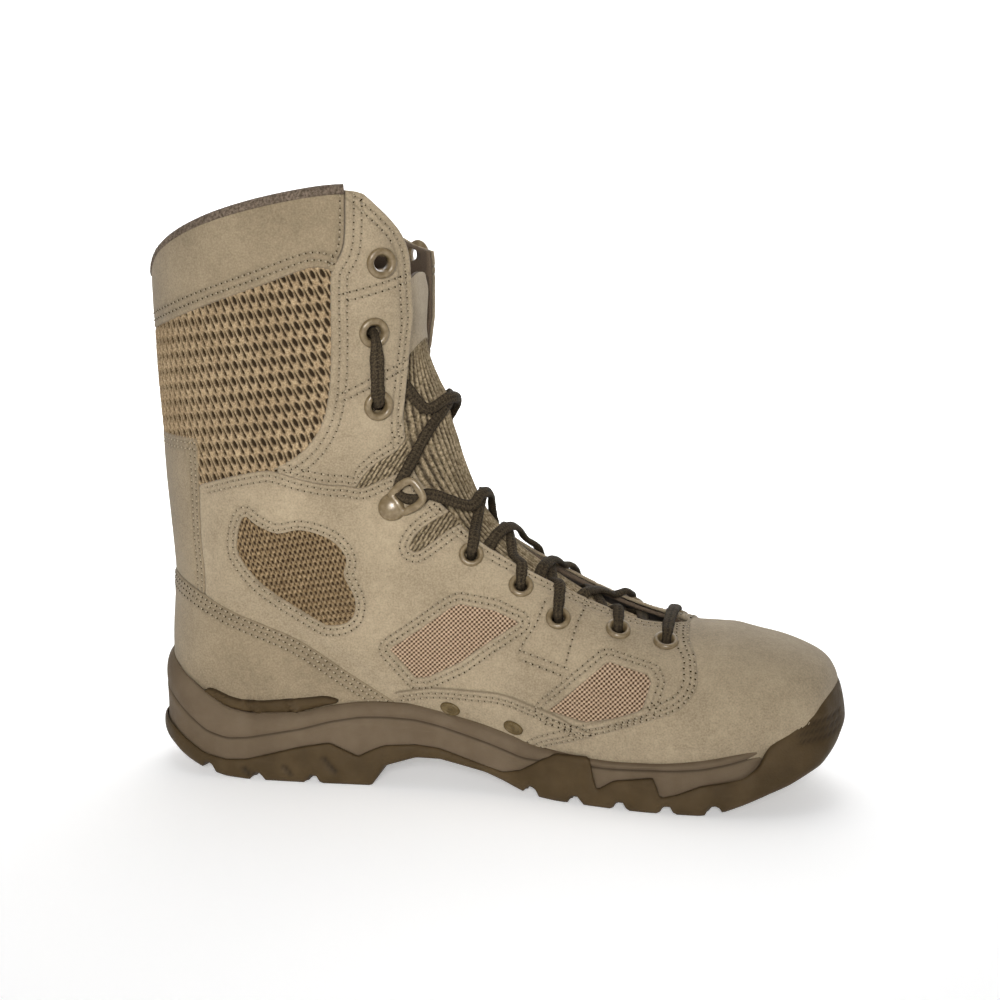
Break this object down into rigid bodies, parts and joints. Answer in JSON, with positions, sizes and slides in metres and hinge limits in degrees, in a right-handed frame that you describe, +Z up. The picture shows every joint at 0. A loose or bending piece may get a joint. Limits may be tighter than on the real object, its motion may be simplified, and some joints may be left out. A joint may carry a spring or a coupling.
{
  "type": "tactical boot",
  "caption": "Left laced tactical boot in suede over mesh, with a bound collar, eyelets, speed hooks, moulded midsole and lugged outsole with a toe bumper.",
  "frame": {"origin": "centre of the bounding box in plan, on the floor plane that the tread stands on", "axes": "+X forward to the toe, +Y to the lateral (outer) side of this left boot, +Z up"},
  "size_m": [0.316, 0.11, 0.266],
  "materials": {
    "suede": "napped suede",
    "mesh": "woven mesh",
    "binding": "woven tape",
    "insole": "matte",
    "midsole": "matte moulded foam",
    "outsole": "satin rubber",
    "hardware": "satin coat",
    "lace": "braided"
  },
  "bodies": {
    "root": {"upper": "mesh", "tongue": "mesh", "vamp": "suede", "quarter_medial": "suede", "quarter_lateral": "suede", "facing_medial": "suede", "facing_lateral": "suede", "heel_counter": "suede", "backstay": "suede", "cuff": "suede", "collar_binding": "binding", "insole": "insole", "midsole": "midsole", "outsole": "outsole", "heel_stabilizer_medial": "outsole", "heel_stabilizer_lateral": "outsole", "eyelet_a_medial": "hardware", "eyelet_b_medial": "hardware", "eyelet_c_medial": "hardware", "eyelet_d_medial": "hardware", "eyelet_e_medial": "hardware", "eyelet_f_medial": "hardware", "eyelet_g_medial": "hardware", "eyelet_h_medial": "hardware", "eyelet_a_lateral": "hardware", "eyelet_b_lateral": "hardware", "eyelet_c_lateral": "hardware", "eyelet_d_lateral": "hardware", "eyelet_e_lateral": "hardware", "eyelet_f_lateral": "hardware", "eyelet_g_lateral": "hardware", "eyelet_h_lateral": "hardware", "hook_medial": "hardware", "hook_lateral": "hardware", "vent_1": "hardware", "vent_2": "hardware", "lace_bar": "lace", "lace_cross_1": "lace", "lace_cross_2": "lace", "lace_cross_3": "lace", "lace_cross_4": "lace", "lace_cross_5": "lace", "lace_run_medial": "lace", "lace_run_lateral": "lace"}
  },
  "joints": []
}
